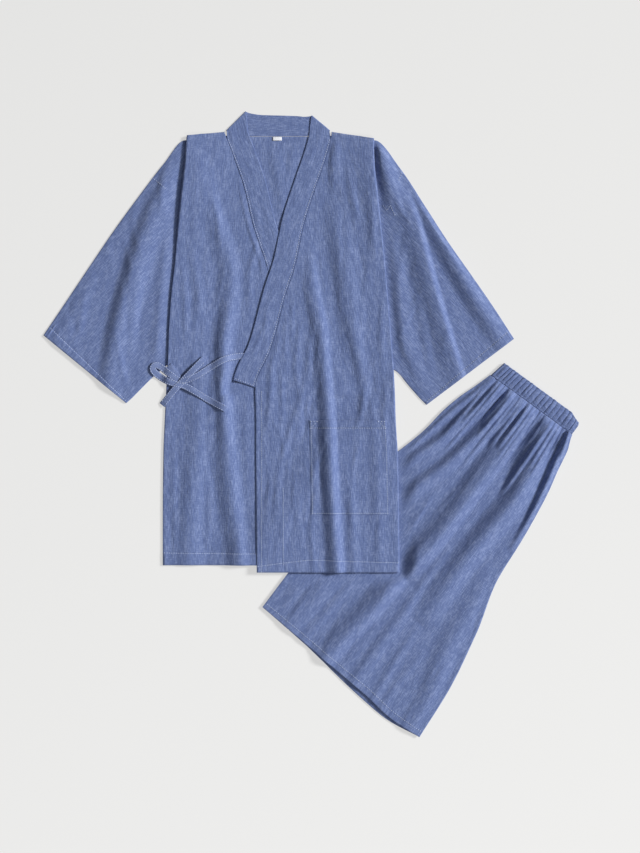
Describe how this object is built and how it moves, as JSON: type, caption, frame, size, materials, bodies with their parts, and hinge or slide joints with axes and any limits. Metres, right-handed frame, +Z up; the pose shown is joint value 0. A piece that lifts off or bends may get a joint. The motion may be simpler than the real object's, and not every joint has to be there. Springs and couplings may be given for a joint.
{
  "type": "jinbei set",
  "caption": "Wrapped short jacket with wide sleeves, collar band, pocket and ties, laid flat with matching shorts folded in half.",
  "frame": {"origin": "on the surface the set lies on, under the middle of its overall outline", "axes": "+Z up from the surface, +Y towards the jacket's collar, +X towards the wearer's left side, where the shorts lie"},
  "size_m": [0.9092, 1.0636, 0.0188],
  "materials": {
    "chambray": "plain-woven blue cotton chambray with slubs, white weft and pale topstitching",
    "label": "small blank white woven label"
  },
  "bodies": {
    "root": {"jacket_back": "chambray", "right_front": "chambray", "left_front": "chambray", "collar": "chambray", "right_sleeve": "chambray", "left_sleeve": "chambray", "pocket": "chambray", "front_tie": "chambray", "side_tie": "chambray", "size_label": "label", "left_leg": "chambray", "right_leg": "chambray", "waistband": "chambray"}
  },
  "joints": []
}
